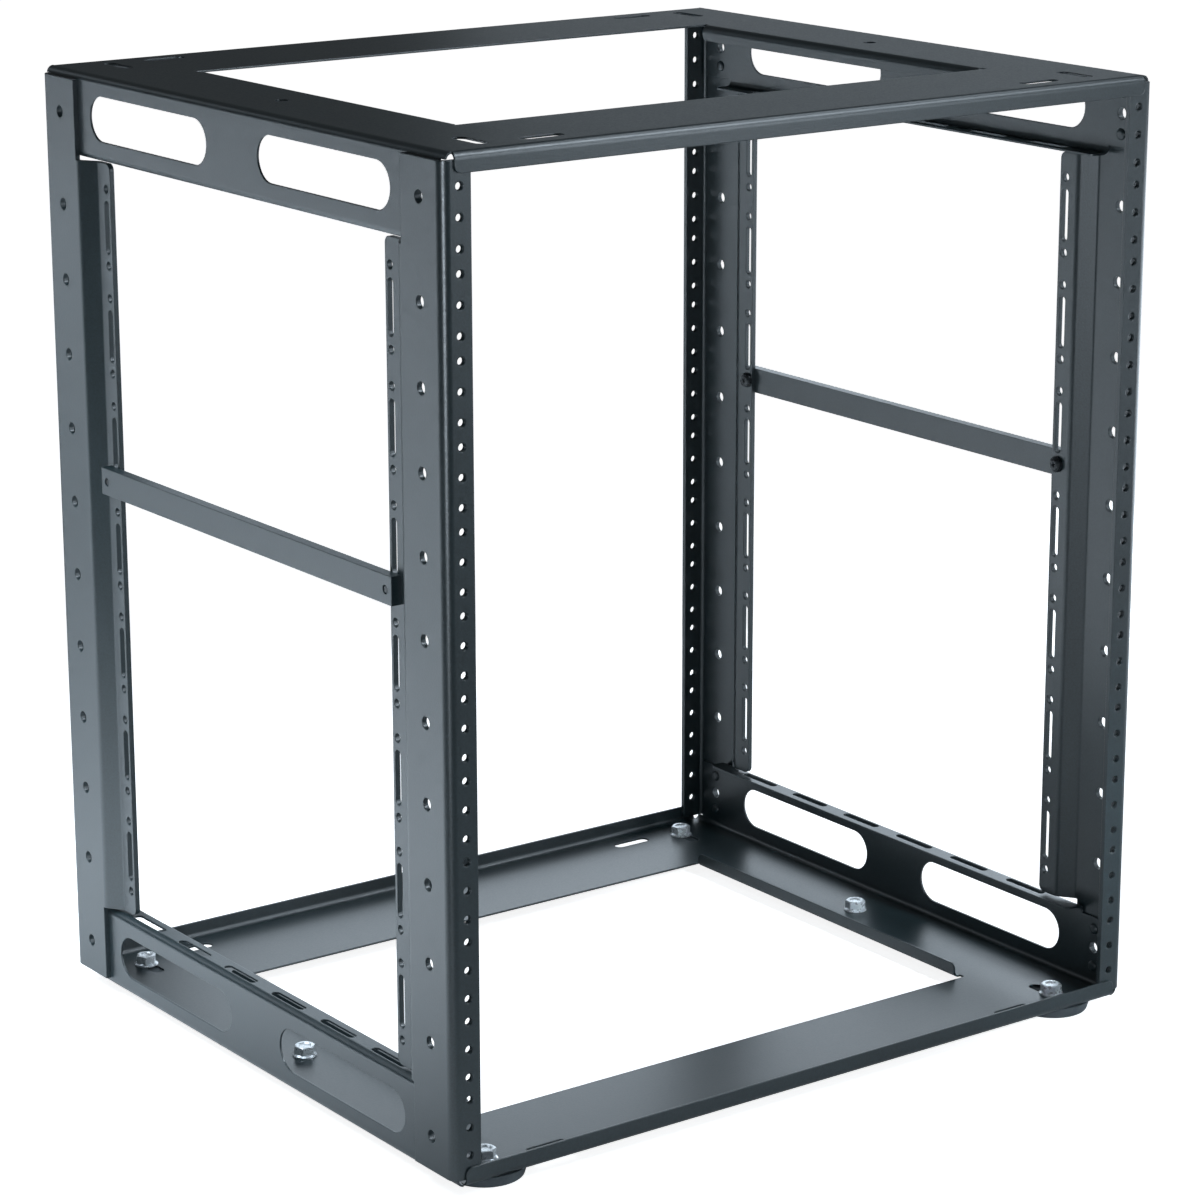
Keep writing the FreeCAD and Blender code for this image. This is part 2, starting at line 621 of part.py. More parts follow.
pieces = [
    make_rail("front_left_rail", LEFT, FRONT, Rotation()),
    make_rail("front_right_rail", RIGHT, FRONT, Rotation(Y_AXIS, 180)),
    make_rail("rear_left_rail", LEFT, REAR, Rotation(X_AXIS, 180)),
    make_rail("rear_right_rail", RIGHT, REAR, Rotation(Z_AXIS, 180)),
    make_pan("bottom_pan", "size.foot_height", Rotation()),
    make_pan("top_pan", PAN_TOP_FACE, Rotation(Y_AXIS, 180)),
    make_side_bar("left_side_bar", f"-{BAR_SEAT}", Rotation(Z_AXIS, 180)),
    make_side_bar("right_side_bar", BAR_SEAT, Rotation()),
]
for side, sign in (("left", "-"), ("right", "")):
    head_seat = f"{sign}({BAR_SEAT} - size.rail_sheet)"
    inwards = Rotation(Y_AXIS, 90 if side == "left" else -90)
    for end, way in (("front", "-"), ("rear", "")):
        corner = f"{end}_{side}"
        foot_x = f"{sign}{LONG_SLOT_X}"
        foot_y = f"{way}{FOOT_Y}"
        pieces.append(make_bar_screw(f"{corner}_bar_screw", head_seat, f"{way}{SCREW_Y}", inwards))
        pieces.append(make_foot(f"{corner}_foot", foot_x, foot_y))
        pieces.append(make_bolt(f"{corner}_foot_bolt", foot_x, foot_y))
    pieces.append(make_bolt(f"middle_{side}_bolt", f"{sign}{LONG_SLOT_X}", "0"))
    pieces.append(make_nut(f"middle_{side}_nut", f"{sign}{LONG_SLOT_X}"))

doc.recompute()
for item in doc.Objects:
    if "Invalid" in item.State or "Error" in item.State:
        raise RuntimeError(f"{item.Label} did not build: {item.State}")
for piece in pieces:
    if piece.Shape.isNull() or not piece.Shape.isValid() or len(piece.Shape.Solids) != 1:
        raise RuntimeError(f"{piece.Label} is not one sound solid")

os.makedirs("parts", exist_ok=True)
for piece in pieces:
    piece.Shape.exportStep(f"parts/{piece.Label}.step")
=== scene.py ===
import math

import bpy
from mathutils import Matrix, Vector


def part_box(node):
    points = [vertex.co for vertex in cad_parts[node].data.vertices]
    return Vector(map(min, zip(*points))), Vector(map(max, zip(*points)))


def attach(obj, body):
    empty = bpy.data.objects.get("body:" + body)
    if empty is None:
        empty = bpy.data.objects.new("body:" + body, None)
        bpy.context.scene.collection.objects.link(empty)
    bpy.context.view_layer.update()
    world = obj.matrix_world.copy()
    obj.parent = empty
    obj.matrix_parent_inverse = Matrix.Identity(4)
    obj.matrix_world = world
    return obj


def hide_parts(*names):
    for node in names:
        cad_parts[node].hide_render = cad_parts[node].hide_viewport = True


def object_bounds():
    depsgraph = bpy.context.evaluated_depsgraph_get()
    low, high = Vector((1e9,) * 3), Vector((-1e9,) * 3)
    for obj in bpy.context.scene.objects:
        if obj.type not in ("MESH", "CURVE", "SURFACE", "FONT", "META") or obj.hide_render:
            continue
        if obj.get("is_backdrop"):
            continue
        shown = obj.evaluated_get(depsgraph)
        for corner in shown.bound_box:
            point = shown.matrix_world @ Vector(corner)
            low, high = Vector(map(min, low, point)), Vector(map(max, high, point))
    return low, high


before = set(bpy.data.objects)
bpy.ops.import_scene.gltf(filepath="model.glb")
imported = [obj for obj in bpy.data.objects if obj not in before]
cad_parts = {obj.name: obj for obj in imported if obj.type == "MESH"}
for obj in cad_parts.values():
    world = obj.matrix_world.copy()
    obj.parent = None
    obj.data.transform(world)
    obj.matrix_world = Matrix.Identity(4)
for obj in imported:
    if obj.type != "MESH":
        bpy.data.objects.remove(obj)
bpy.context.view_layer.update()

# Upright rails
# Four uprights, each folded from one strip of 3 mm steel and punched with unit holes, web holes and slots.
# They are coated with black powder before the frame is packed, so edges and hole walls are coated too.
MM = 0.001


def linear(colour):
    """An sRGB hex colour as the linear colour that a shader socket takes."""
    levels = [int(colour[place:place + 2], 16) / 255 for place in (1, 3, 5)]
    curve = [level / 12.92 if level <= 0.04045 else ((level + 0.055) / 1.055) ** 2.4 for level in levels]
    return (*curve, 1.0)


def add_node(tree, kind, inputs, **settings):
    """Adds a shader node, sets its properties, and sets or links its input sockets."""
    node = tree.nodes.new(kind)
    for name, value in settings.items():
        setattr(node, name, value)
    for name, value in inputs.items():
        if isinstance(value, bpy.types.NodeSocket):
            tree.links.new(value, node.inputs[name])
        else:
            node.inputs[name].default_value = value
    return node


def powder_coat():
    """Fine-texture black powder coat: baked polyester with a dense pebble grain that breaks up reflections.

    The grit is really 0.2 to 0.4 mm, and is drawn coarser here so that it shows as a faint speckle."""
    grit = 1.1 * MM
    grit_height = 0.12 * MM
    flow = 60 * MM
    edge_build = 0.8 * MM
    coat_ior = 1.8
    material = bpy.data.materials.new("fine_texture_black_powder_coat")
    material.use_nodes = True
    tree = material.node_tree
    shader = tree.nodes["Principled BSDF"]
    place = add_node(tree, "ShaderNodeTexCoord", {}).outputs["Object"]
    grain = add_node(tree, "ShaderNodeTexNoise", {"Vector": place, "Scale": 1 / grit, "Detail": 2.0})
    cloud = add_node(tree, "ShaderNodeTexNoise", {"Vector": place, "Scale": 1 / flow, "Detail": 1.0})
    speckle = add_node(tree, "ShaderNodeValToRGB", {"Fac": grain.outputs["Fac"]})
    speckle.color_ramp.elements[0].position = 0.32
    speckle.color_ramp.elements[0].color = linear("#142124")
    speckle.color_ramp.elements[1].position = 0.68
    speckle.color_ramp.elements[1].color = linear("#1f2e32")
    tone = add_node(tree, "ShaderNodeMapRange", {
        "Value": cloud.outputs["Fac"], "From Min": 0.3, "From Max": 0.7, "To Min": 0.93, "To Max": 1.07})
    colour = add_node(tree, "ShaderNodeVectorMath", {
        0: speckle.outputs["Color"], "Scale": tone.outputs["Result"]}, operation="SCALE")
    gloss = add_node(tree, "ShaderNodeMapRange", {
        "Value": grain.outputs["Fac"], "From Min": 0.3, "From Max": 0.7, "To Min": 0.28, "To Max": 0.38})
    rounding = add_node(tree, "ShaderNodeBevel", {"Radius": edge_build}, samples=4)
    pebble = add_node(tree, "ShaderNodeBump", {
        "Height": grain.outputs["Fac"], "Strength": 0.35, "Distance": grit_height,
        "Normal": rounding.outputs["Normal"]})
    tree.links.new(colour.outputs["Vector"], shader.inputs["Base Color"])
    tree.links.new(gloss.outputs["Result"], shader.inputs["Roughness"])
    tree.links.new(pebble.outputs["Normal"], shader.inputs["Normal"])
    shader.inputs["IOR"].default_value = coat_ior
    return material


def finish_node(name, material):
    """Gives a CAD node its real finish."""
    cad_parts[name].data.materials.clear()
    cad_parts[name].data.materials.append(material)


black_powder = powder_coat()
ENDS = ("front", "rear")
SIDES = ("left", "right")
for end in ENDS:
    for side in SIDES:
        finish_node(f"{end}_{side}_rail", black_powder)

# Top and bottom pans
# Two trays of the same pressing, folded from 1.2 mm steel sheet, with grips, slots and a flanged opening.
# They close the frame at both ends and have the same powder coat as the rails.
for pan in ("top_pan", "bottom_pan"):
    finish_node(pan, black_powder)

# Plug welds
# Two puddles of weld metal hold each end of a rail's web to the pan's side panel, above and below its hole.
# They are domed and a little uneven, stand proud of the panel's inner face, and are coated over.
# The dome is built in rings, each a share of the crown high and narrower than the one below.
PUDDLE_SIDES = 14
PUDDLE_RADIUS = 3.6 * MM
PUDDLE_CROWN = 1.5 * MM
PUDDLE_ROOT = 0.6 * MM
PUDDLE_RINGS = ((0.45, 0.84), (0.28, 0.62))
PUDDLE_FOOT = 0.2
PUDDLE_TOP = 0.35
PUDDLE_TIP = 0.07
PUDDLE_UNEVEN = 0.22 * MM
PUDDLE_FROM_HOLE = 12 * MM
WEB_HOLE_FROM_END = 20.65 * MM
FIXING_LEVEL = 24.2 * MM
PAN_SHEET = 1.2 * MM


def start_piece(name):
    """Names the primitive that was just added and goes into edit mode with all of it selected."""
    piece = bpy.context.object
    piece.name = name
    piece.data.name = name
    bpy.ops.object.mode_set(mode="EDIT")
    bpy.ops.mesh.select_mode(type="FACE")
    bpy.ops.mesh.select_all(action="SELECT")
    return piece


def select_faces(piece, test):
    """Selects, in edit mode, the faces whose centre and normal pass the test."""
    bpy.ops.mesh.select_mode(type="FACE")
    bpy.ops.mesh.select_all(action="DESELECT")
    bpy.ops.object.mode_set(mode="OBJECT")
    for face in piece.data.polygons:
        face.select = test(face.center, face.normal)
    bpy.ops.object.mode_set(mode="EDIT")


def raise_faces(height, taper):
    """Extrudes the selected faces upwards and scales the new ones about the axis."""
    bpy.ops.mesh.extrude_region_move(TRANSFORM_OT_translate={"value": (0, 0, height)})
    bpy.ops.transform.resize(value=(taper, taper, 1))


def apply_modifier(piece, kind, **settings):
    """Adds a modifier and applies it to the mesh."""
    bpy.ops.object.select_all(action="DESELECT")
    piece.select_set(True)
    bpy.context.view_layer.objects.active = piece
    modifier = piece.modifiers.new(kind.lower(), kind)
    for name, value in settings.items():
        setattr(modifier, name, value)
    bpy.ops.object.modifier_apply(modifier=modifier.name)


def place_copy(model, name, turn, place):
    """Copies a modelled piece with a mesh of its own, turned and moved within that mesh."""
    bpy.ops.object.select_all(action="DESELECT")
    piece = model.copy()
    piece.data = model.data.copy()
    piece.name = name
    piece.data.name = name
    bpy.context.collection.objects.link(piece)
    piece.rotation_euler = turn
    piece.location = place
    piece.select_set(True)
    bpy.context.view_layer.objects.active = piece
    bpy.ops.object.transform_apply(location=True, rotation=True, scale=True)
    return piece


def scrap(*models):
    """Removes the models that the copies were made from."""
    for model in models:
        bpy.data.objects.remove(model)


bpy.ops.object.select_all(action="DESELECT")
bpy.ops.mesh.primitive_circle_add(
    vertices=PUDDLE_SIDES, radius=PUDDLE_RADIUS, fill_type="NGON", location=(0, 0, 0))
puddle = start_piece("plug_weld")
bpy.ops.transform.translate(value=(0, 0, -PUDDLE_ROOT))
raise_faces(PUDDLE_ROOT + PUDDLE_FOOT * PUDDLE_CROWN, 1.0)
for rise, taper in PUDDLE_RINGS:
    raise_faces(rise * PUDDLE_CROWN, taper)
bpy.ops.mesh.inset(thickness=PUDDLE_TOP * PUDDLE_RADIUS, depth=-PUDDLE_TIP * PUDDLE_CROWN)
bpy.ops.mesh.select_all(action="SELECT")
bpy.ops.transform.vertex_random(offset=PUDDLE_UNEVEN, normal=0.0, seed=5)
bpy.ops.mesh.normals_make_consistent(inside=False)
bpy.ops.object.mode_set(mode="OBJECT")
apply_modifier(puddle, "SUBSURF", levels=2, render_levels=2)
bpy.ops.object.shade_smooth()
puddle.data.materials.append(black_powder)

for end, front in (("front", -1), ("rear", 1)):
    for side, outward in (("left", -1), ("right", 1)):
        for pan, level in (("bottom", 1), ("top", -1)):
            low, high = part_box(f"{pan}_pan")
            outer = low.z if level > 0 else high.z
            face = outward * (high.x - PAN_SHEET)
            rail_low, rail_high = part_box(f"{end}_{side}_rail")
            along = (rail_low.y + WEB_HOLE_FROM_END) if front < 0 else (rail_high.y - WEB_HOLE_FROM_END)
            hole = outer + level * FIXING_LEVEL
            for step, where in ((-1, "lower"), (1, "upper")):
                turn = Matrix.Rotation(-outward * math.pi / 2, 3, "Y") @ Matrix.Rotation(front + step, 3, "Z")
                weld = place_copy(puddle, f"{end}_{side}_{pan}_{where}_weld", turn.to_euler(),
                                  (face, along, hole + step * PUDDLE_FROM_HOLE))
                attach(weld, "root")
scrap(puddle)

# Tapped threads
# The rails' equipment holes are tapped for number 10 screws, with 32 threads to the inch.
# Each unit has three of them. The ridges stand inside each hole and are coated with the rest of the rail.
TAP_RADIUS = 2.4 * MM
TAP_MINOR = 2.0 * MM
TAP_STEP = 25.4 / 32 * MM
TAP_RIDGES = 3
TAP_SIDES = 20
TAP_BACK = 0.25 * MM
UNIT_HOLES = 3
RAIL_SHEET = 3.04 * MM
HOLE_FROM_WEB = 10.85 * MM
HOLE_FROM_END = 13.35 * MM
HOLE_STEP = 15.875 * MM
UNIT_HEIGHT = 44.45 * MM
RACK_UNITS = 12

bpy.ops.object.select_all(action="DESELECT")
bpy.ops.mesh.primitive_cylinder_add(
    vertices=TAP_SIDES, radius=TAP_RADIUS, depth=TAP_STEP, end_fill_type="NOTHING", location=(0, 0, 0))
thread = start_piece("tapped_thread")
bpy.ops.mesh.bisect(plane_co=(0, 0, 0), plane_no=(0, 0, 1))
bpy.ops.mesh.select_mode(type="VERT")
bpy.ops.mesh.select_all(action="DESELECT")
bpy.ops.object.mode_set(mode="OBJECT")
for vertex in thread.data.vertices:
    vertex.select = abs(vertex.co.z) < TAP_STEP / 4
bpy.ops.object.mode_set(mode="EDIT")
bpy.ops.transform.resize(value=(TAP_MINOR / TAP_RADIUS, TAP_MINOR / TAP_RADIUS, 1))
bpy.ops.mesh.select_all(action="SELECT")
bpy.ops.transform.translate(value=(0, 0, (1 - TAP_RIDGES) / 2 * TAP_STEP))
bpy.ops.object.mode_set(mode="OBJECT")
apply_modifier(thread, "ARRAY", count=TAP_RIDGES, use_relative_offset=False, use_constant_offset=True,
               constant_offset_displace=(0, 0, TAP_STEP),
               use_merge_vertices=True, merge_threshold=TAP_STEP / 50)
apply_modifier(thread, "SOLIDIFY", thickness=TAP_BACK, offset=1)
bpy.ops.object.mode_set(mode="EDIT")
bpy.ops.mesh.select_all(action="SELECT")
bpy.ops.mesh.normals_make_consistent(inside=False)
bpy.ops.transform.rotate(value=math.pi / 2, orient_axis="X", center_override=(0, 0, 0))
bpy.ops.object.mode_set(mode="OBJECT")
for count, step in ((UNIT_HOLES, HOLE_STEP), (RACK_UNITS, UNIT_HEIGHT)):
    apply_modifier(thread, "ARRAY", count=count, use_relative_offset=False, use_constant_offset=True,
                   constant_offset_displace=(0, 0, step))
thread.data.materials.append(black_powder)

for end in ENDS:
    for side in SIDES:
        low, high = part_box(f"{end}_{side}_rail")
        across = low.x + HOLE_FROM_WEB if side == "left" else high.x - HOLE_FROM_WEB
        depth = low.y + RAIL_SHEET / 2 if end == "front" else high.y - RAIL_SHEET / 2
        first_hole = (across, depth, low.z + HOLE_FROM_END)
        threads = place_copy(thread, f"{end}_{side}_threads", (0, 0, 0), first_hole)
        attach(threads, "root")
scrap(thread)

# Side bars
# Flat bars across the outside of the slotted flanges, one on each side.
# They are cut from mill-edge flat steel, powder coated like the rails, and held by a screw near each end.
for side in SIDES:
    finish_node(f"{side}_side_bar", black_powder)

# Rubber feet
# Black rubber discs under the bottom pan's corners, moulded a little wider at the top than at the floor.
# Each is held by a hex flange bolt that comes down through the pan.


def moulded_rubber():
    """Black moulded rubber: matt, with a fine mould grain and a faint bloom that varies its tone at random.
    Its grey is lighter than the rubber's own black: painted reflection of the pale floor.
    """
    grain_size = 1.6 * MM
    grain_height = 0.15 * MM
    bloom_size = 14 * MM
    material = bpy.data.materials.new("moulded_black_rubber")
    material.use_nodes = True
    tree = material.node_tree
    shader = tree.nodes["Principled BSDF"]
    place = add_node(tree, "ShaderNodeTexCoord", {}).outputs["Object"]
    grain = add_node(tree, "ShaderNodeTexNoise", {"Vector": place, "Scale": 1 / grain_size, "Detail": 3.0})
    bloom = add_node(tree, "ShaderNodeTexNoise", {"Vector": place, "Scale": 1 / bloom_size, "Detail": 3.0})
    # Both stops are a lighter grey than black rubber: painted reflection of the floor, with the bloom noise
    # varying the tone at random.
    colour = add_node(tree, "ShaderNodeValToRGB", {"Fac": bloom.outputs["Fac"]})
    colour.color_ramp.elements[0].position = 0.3
    colour.color_ramp.elements[0].color = linear("#4a5053")
    colour.color_ramp.elements[1].position = 0.75
    colour.color_ramp.elements[1].color = linear("#5c6266")
    dull = add_node(tree, "ShaderNodeMapRange", {
        "Value": grain.outputs["Fac"], "From Min": 0.3, "From Max": 0.7, "To Min": 0.62, "To Max": 0.8})
    skin = add_node(tree, "ShaderNodeBump", {
        "Height": grain.outputs["Fac"], "Strength": 0.3, "Distance": grain_height})
    tree.links.new(colour.outputs["Color"], shader.inputs["Base Color"])
    tree.links.new(dull.outputs["Result"], shader.inputs["Roughness"])
    tree.links.new(skin.outputs["Normal"], shader.inputs["Normal"])
    return material


black_rubber = moulded_rubber()
for end in ENDS:
    for side in SIDES:
        finish_node(f"{end}_{side}_foot", black_rubber)

# Hex flange bolts
# Quarter-inch forged bolts with a washer-like flange and a dished head, bright zinc plated.
# Four hold the feet, and two stand in the middle of the pan's sides with a nut below.
# Each was tightened to an angle of its own.
HEX = 11.1 * MM
HEAD_HEIGHT = 6.4 * MM
HEAD_ROUND = 0.48 * HEX
CHAMFER_SLOPE = math.tan(math.radians(30))
FLANGE_RADIUS = 7.25 * MM
FLANGE_RIM = 0.7 * MM
FLANGE_CONE = 0.9 * MM
FLANGE_TAPER = 0.82
DISH_RADIUS = 3.8 * MM
DISH_FLOOR = 0.8
DISH_DEPTH = 0.7 * MM
BOLT_RADIUS = 3.175 * MM
THREAD_STEP = 1.27 * MM
THREAD_DEPTH = 0.6 * THREAD_STEP
ROUND_SIDES = 48
ZINC_EDGE = 0.14 * MM


def zinc_plate():
    """Bright zinc plate on forged steel: silver metal under a pale, blotched film, with fine wear."""
    blotch_size = 2.5 * MM
    line_size = 0.5 * MM
    line_height = 0.03 * MM
    bare_metal = 0.55
    material = bpy.data.materials.new("bright_zinc_plate")
    material.use_nodes = True
    tree = material.node_tree
    shader = tree.nodes["Principled BSDF"]
    place = add_node(tree, "ShaderNodeTexCoord", {}).outputs["Object"]
    blotch = add_node(tree, "ShaderNodeTexNoise", {"Vector": place, "Scale": 1 / blotch_size, "Detail": 3.0})
    lines = add_node(tree, "ShaderNodeTexNoise", {"Vector": place, "Scale": 1 / line_size, "Detail": 2.0})
    colour = add_node(tree, "ShaderNodeValToRGB", {"Fac": blotch.outputs["Fac"]})
    colour.color_ramp.elements[0].position = 0.3
    colour.color_ramp.elements[0].color = linear("#d3d8dc")
    colour.color_ramp.elements[1].position = 0.7
    colour.color_ramp.elements[1].color = linear("#f0f2f3")
    gloss = add_node(tree, "ShaderNodeMapRange", {
        "Value": blotch.outputs["Fac"], "From Min": 0.3, "From Max": 0.7, "To Min": 0.34, "To Max": 0.24})
    wear = add_node(tree, "ShaderNodeBump", {
        "Height": lines.outputs["Fac"], "Strength": 0.06, "Distance": line_height})
    tree.links.new(colour.outputs["Color"], shader.inputs["Base Color"])
    tree.links.new(gloss.outputs["Result"], shader.inputs["Roughness"])
    tree.links.new(wear.outputs["Normal"], shader.inputs["Normal"])
    shader.inputs["Metallic"].default_value = bare_metal
    return material


def combine(piece, other, operation):
    """Joins, cuts or intersects the piece with another solid, which is used up."""
    apply_modifier(piece, "BOOLEAN", object=other, operation=operation, solver="EXACT")
    scrap(other)


def threaded_rod(name, radius, step, depth, length, seat):
    """A rod of thread ridges that hangs down from the seat, closed at both ends."""
    bpy.ops.object.select_all(action="DESELECT")
    bpy.ops.mesh.primitive_cylinder_add(
        vertices=ROUND_SIDES // 2, radius=radius, depth=step, end_fill_type="NOTHING", location=(0, 0, 0))
    rod = start_piece(name)
    bpy.ops.mesh.bisect(plane_co=(0, 0, 0), plane_no=(0, 0, 1))
    bpy.ops.mesh.select_mode(type="VERT")
    bpy.ops.mesh.select_all(action="DESELECT")
    bpy.ops.object.mode_set(mode="OBJECT")
    for vertex in rod.data.vertices:
        vertex.select = abs(vertex.co.z) > step / 4
    bpy.ops.object.mode_set(mode="EDIT")
    root = (radius - depth) / radius
    bpy.ops.transform.resize(value=(root, root, 1))
    bpy.ops.mesh.select_all(action="SELECT")
    bpy.ops.transform.translate(value=(0, 0, seat - step / 2))
    bpy.ops.object.mode_set(mode="OBJECT")
    turns = max(1, round(length / step))
    fit = length / (turns * step)
    apply_modifier(rod, "ARRAY", count=turns, use_relative_offset=False, use_constant_offset=True,
                   constant_offset_displace=(0, 0, -step),
                   use_merge_vertices=True, merge_threshold=step / 50)
    bpy.ops.object.mode_set(mode="EDIT")
    bpy.ops.mesh.select_all(action="SELECT")
    bpy.ops.transform.resize(value=(1, 1, fit), center_override=(0, 0, seat))
    bpy.ops.mesh.select_mode(type="EDGE")
    bpy.ops.mesh.select_all(action="DESELECT")
    bpy.ops.mesh.select_non_manifold()
    bpy.ops.mesh.fill_holes(sides=ROUND_SIDES)
    bpy.ops.mesh.select_all(action="SELECT")
    bpy.ops.mesh.normals_make_consistent(inside=False)
    bpy.ops.object.mode_set(mode="OBJECT")
    return rod


def chamfer_cone(top, direction):
    """The cone that turns the corners off a hexagon, narrow at the level named."""
    reach = 3 * HEX
    bpy.ops.object.select_all(action="DESELECT")
    bpy.ops.mesh.primitive_cone_add(
        vertices=2 * ROUND_SIDES, radius1=HEAD_ROUND + reach / CHAMFER_SLOPE, radius2=HEAD_ROUND, depth=reach,
        location=(0, 0, -reach / 2))
    cone = start_piece("chamfer_cone")
    if direction < 0:
        bpy.ops.transform.mirror(constraint_axis=(False, False, True))
        bpy.ops.transform.translate(value=(0, 0, reach))
        bpy.ops.mesh.normals_make_consistent(inside=False)
    bpy.ops.transform.translate(value=(0, 0, top))
    bpy.ops.object.mode_set(mode="OBJECT")
    bpy.ops.object.transform_apply(location=True, rotation=True, scale=True)
    return cone


def soften(piece, width, material):
    """Breaks the sharp edges, shades the round faces smooth and gives the piece its finish."""
    apply_modifier(piece, "BEVEL", width=width, segments=2,
                   limit_method="ANGLE", angle_limit=math.radians(28))
    bpy.ops.object.shade_smooth_by_angle(angle=math.radians(40))
    piece.data.materials.clear()
    piece.data.materials.append(material)


bright_zinc = zinc_plate()
bolt_low, bolt_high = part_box("middle_left_bolt")
bolt_seat = bolt_high.z - HEAD_HEIGHT
shank_length = bolt_seat - bolt_low.z

bpy.ops.object.select_all(action="DESELECT")
bpy.ops.mesh.primitive_cylinder_add(
    vertices=6, radius=HEX / math.sqrt(3), depth=HEAD_HEIGHT - FLANGE_RIM,
    location=(0, 0, (HEAD_HEIGHT + FLANGE_RIM) / 2))
bolt = bpy.context.object
bpy.ops.object.transform_apply(location=True, rotation=True, scale=True)
combine(bolt, chamfer_cone(HEAD_HEIGHT, 1), "INTERSECT")

bpy.ops.object.select_all(action="DESELECT")
bpy.ops.mesh.primitive_circle_add(
    vertices=ROUND_SIDES, radius=FLANGE_RADIUS, fill_type="NGON", location=(0, 0, 0))
flange = start_piece("bolt_flange")
raise_faces(FLANGE_RIM, 1.0)
raise_faces(FLANGE_CONE, FLANGE_TAPER)
bpy.ops.mesh.select_all(action="SELECT")
bpy.ops.mesh.normals_make_consistent(inside=False)
bpy.ops.object.mode_set(mode="OBJECT")
combine(bolt, flange, "UNION")

bpy.ops.object.select_all(action="DESELECT")
bpy.ops.mesh.primitive_circle_add(
    vertices=ROUND_SIDES, radius=DISH_FLOOR * DISH_RADIUS, fill_type="NGON", location=(0, 0, 0))
dish = start_piece("bolt_dish")
raise_faces(DISH_DEPTH, 1 / DISH_FLOOR)
raise_faces(DISH_DEPTH, 1.0)
bpy.ops.mesh.select_all(action="SELECT")
bpy.ops.transform.translate(value=(0, 0, HEAD_HEIGHT - DISH_DEPTH))
bpy.ops.mesh.normals_make_consistent(inside=False)
bpy.ops.object.mode_set(mode="OBJECT")
combine(bolt, dish, "DIFFERENCE")

rod = threaded_rod("bolt_rod", BOLT_RADIUS, THREAD_STEP, THREAD_DEPTH, shank_length + FLANGE_RIM, FLANGE_RIM)
combine(bolt, rod, "UNION")
soften(bolt, ZINC_EDGE, bright_zinc)

BOLT_TURNS = {
    "front_left_foot_bolt": 12,
    "front_right_foot_bolt": 40,
    "rear_left_foot_bolt": 25,
    "rear_right_foot_bolt": 5,
    "middle_left_bolt": 18,
    "middle_right_bolt": 50,
}
for node, degrees in BOLT_TURNS.items():
    low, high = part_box(node)
    middle = (low + high) / 2
    piece = place_copy(bolt, f"{node}_zinc", (0, 0, math.radians(degrees)), (middle.x, middle.y, bolt_seat))
    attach(piece, "root")
    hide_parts(node)
scrap(bolt)

# Hex nuts
# Hex nuts of zinc-plated steel with both ends chamfered, of the same plating as the bolts.
# They are run up under the pan on the two middle bolts.
NUT_CLEARANCE = 0.02 * MM
nut_low, nut_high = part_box("middle_left_nut")
nut_height = nut_high.z - nut_low.z
bpy.ops.object.select_all(action="DESELECT")
bpy.ops.mesh.primitive_cylinder_add(
    vertices=6, radius=HEX / math.sqrt(3), depth=nut_height, location=(0, 0, nut_height / 2))
nut = bpy.context.object
bpy.ops.object.transform_apply(location=True, rotation=True, scale=True)
combine(nut, chamfer_cone(nut_height, 1), "INTERSECT")
combine(nut, chamfer_cone(0, -1), "INTERSECT")
bpy.ops.object.select_all(action="DESELECT")
bpy.ops.mesh.primitive_cylinder_add(
    vertices=ROUND_SIDES, radius=BOLT_RADIUS + NUT_CLEARANCE, depth=3 * nut_height, location=(0, 0, 0))
bore = start_piece("nut_bore")
bpy.ops.object.mode_set(mode="OBJECT")
combine(nut, bore, "DIFFERENCE")
soften(nut, ZINC_EDGE, bright_zinc)

for side, degrees in (("left", 33), ("right", 8)):
    low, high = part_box(f"middle_{side}_nut")
    middle = (low + high) / 2
    turn = (0, 0, math.radians(degrees))
    piece = place_copy(nut, f"middle_{side}_nut_zinc", turn, (middle.x, middle.y, low.z))
    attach(piece, "root")
    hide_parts(f"middle_{side}_nut")
scrap(nut)

# Bar screws
# Black pan-head machine screws with a cross recess, driven from inside through the slotted flanges.
# Each bites into a tapped hole near the end of its bar.
SCREW_HEAD_RADIUS = 4.8 * MM
SCREW_HEAD_HEIGHT = 3.1 * MM
SCREW_HEAD_RINGS = ((0.5, 1.0), (0.25, 0.92), (0.17, 0.82), (0.08, 0.6))
SCREW_RADIUS = 2.4 * MM
SCREW_THREAD_STEP = 1.06 * MM
SCREW_THREAD_DEPTH = 0.55 * SCREW_THREAD_STEP
SCREW_ROOT = 0.3 * SCREW_HEAD_HEIGHT
SCREW_EDGE = 0.1 * MM
RECESS_REACH = 2.5 * MM
RECESS_WIDTH = 0.95 * MM
RECESS_DEPTH = 1.9 * MM
RECESS_END_TAPER = 0.35
RECESS_SIDE_TAPER = 0.62


def black_oxide():
    """Black oxide on steel, oiled: a dark, smooth surface with sharp small highlights."""
    cloud_size = 2.0 * MM
    material = bpy.data.materials.new("oiled_black_oxide")
    material.use_nodes = True
    tree = material.node_tree
    shader = tree.nodes["Principled BSDF"]
    place = add_node(tree, "ShaderNodeTexCoord", {}).outputs["Object"]
    cloud = add_node(tree, "ShaderNodeTexNoise", {"Vector": place, "Scale": 1 / cloud_size, "Detail": 3.0})
    colour = add_node(tree, "ShaderNodeValToRGB", {"Fac": cloud.outputs["Fac"]})
    colour.color_ramp.elements[0].position = 0.3
    colour.color_ramp.elements[0].color = linear("#131618")
    colour.color_ramp.elements[1].position = 0.7
    colour.color_ramp.elements[1].color = linear("#23282b")
    gloss = add_node(tree, "ShaderNodeMapRange", {
        "Value": cloud.outputs["Fac"], "From Min": 0.3, "From Max": 0.7, "To Min": 0.22, "To Max": 0.36})
    tree.links.new(colour.outputs["Color"], shader.inputs["Base Color"])
    tree.links.new(gloss.outputs["Result"], shader.inputs["Roughness"])
    return material


